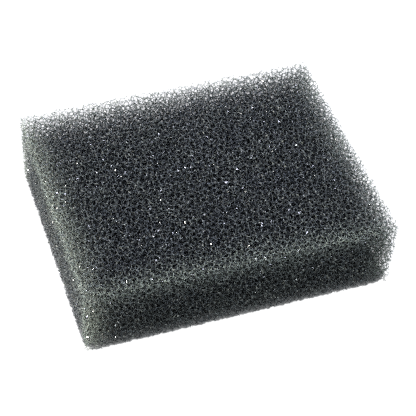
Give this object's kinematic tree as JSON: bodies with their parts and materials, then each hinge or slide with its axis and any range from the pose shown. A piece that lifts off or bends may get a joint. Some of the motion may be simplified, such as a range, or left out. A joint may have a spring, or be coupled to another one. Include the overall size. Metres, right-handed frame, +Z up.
{
  "type": "foam air filter element",
  "caption": "Flat rectangular block of charcoal open-cell foam that drops into a small engine's air filter seat and cleans the intake air passing through its broad faces.",
  "frame": {"origin": "centre of the bottom broad face, on the surface the block lies on", "axes": "+X along the length, +Y along the width, +Z up through the thickness, which is the way the air passes"},
  "size_m": [0.0636, 0.0508, 0.0159],
  "materials": {
    "foam": "charcoal grey open-cell (reticulated) polyurethane foam, about 12 pores per centimetre, matt struts with small bright glints"
  },
  "bodies": {
    "root": {"foam_element": "foam"}
  },
  "joints": []
}
